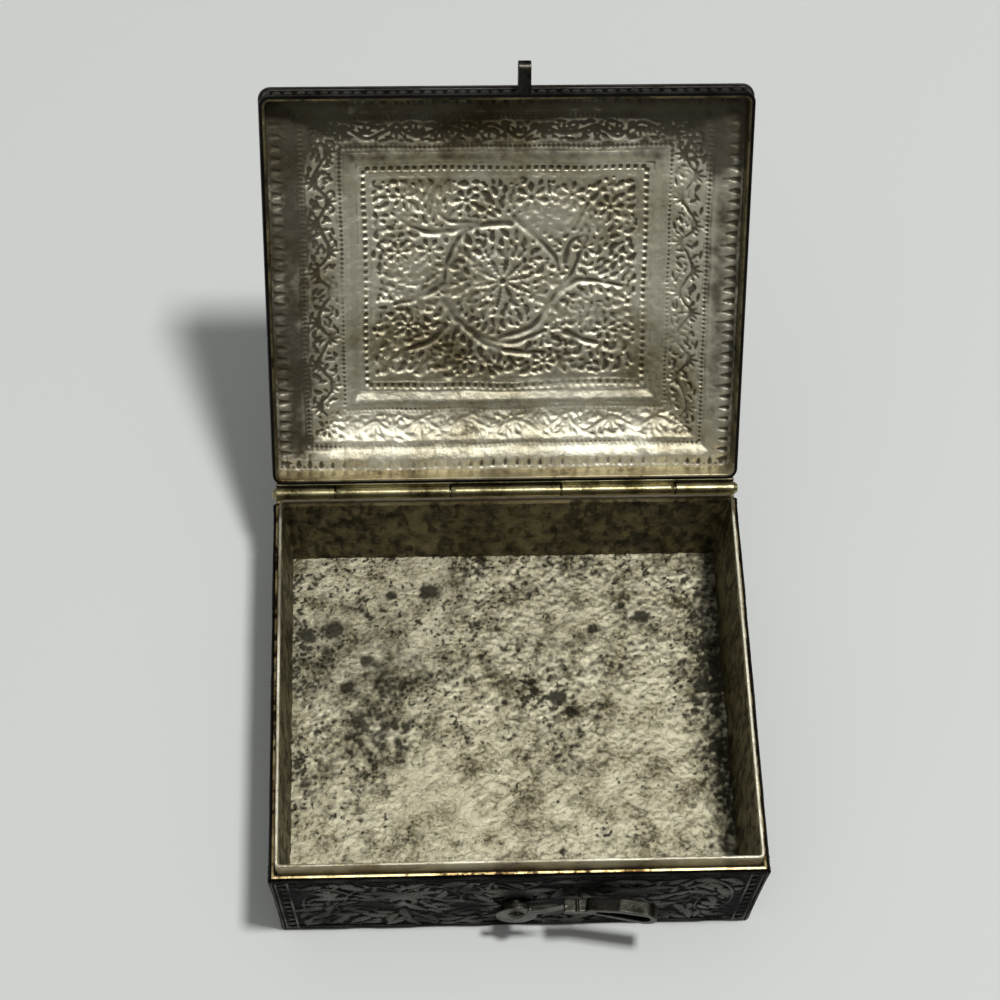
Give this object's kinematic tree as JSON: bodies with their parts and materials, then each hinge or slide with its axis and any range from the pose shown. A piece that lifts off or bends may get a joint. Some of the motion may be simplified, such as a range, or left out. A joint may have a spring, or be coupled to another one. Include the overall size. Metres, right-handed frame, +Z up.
{
  "type": "trinket box",
  "caption": "Small rectangular box of chased silver sheet, with an inner bezel, a stepped lid on a tube hinge along the back, and a swinging hasp that rises beside a staple on the lid.",
  "frame": {"origin": "on the surface that the box stands on, under the middle of its outline", "axes": "+X to the right, +Y back toward the hinge, +Z up"},
  "size_m": [0.0958, 0.1424, 0.0997],
  "materials": {
    "chased_silver": "chased and oxidised silver",
    "plain_silver": "hand-planished, tarnished silver",
    "hinge_brass": "worn, tarnished",
    "latch_silver": "worn smooth silver"
  },
  "bodies": {
    "box": {"front_wall": "chased_silver", "back_wall": "chased_silver", "left_wall": "chased_silver", "right_wall": "chased_silver", "base_plate": "plain_silver", "liner": "plain_silver", "box_hinge_bearer": "plain_silver", "left_box_knuckle": "hinge_brass", "centre_box_knuckle": "hinge_brass", "right_box_knuckle": "hinge_brass", "hinge_pin": "hinge_brass", "latch_collar": "latch_silver", "latch_rivet": "latch_silver"},
    "lid": {"lid_top": "chased_silver", "lid_skirt": "chased_silver", "lid_inner_band": "plain_silver", "lid_hinge_bearer": "plain_silver", "left_lid_knuckle": "hinge_brass", "right_lid_knuckle": "hinge_brass", "lid_staple": "latch_silver"},
    "hasp": {"hasp": "latch_silver"}
  },
  "joints": [
    {"name": "lid_hinge", "type": "hinge", "parent": "box", "child": "lid", "pos_m": [0, 0.0431, 0.0256], "axis": [1, 0, 0], "range_deg": [0, 124]},
    {"name": "hasp_swing", "type": "hinge", "parent": "box", "child": "hasp", "pos_m": [-0.0004, -0.043, 0.0118], "axis": [0, -1, 0], "range_deg": [-282, 50]}
  ]
}
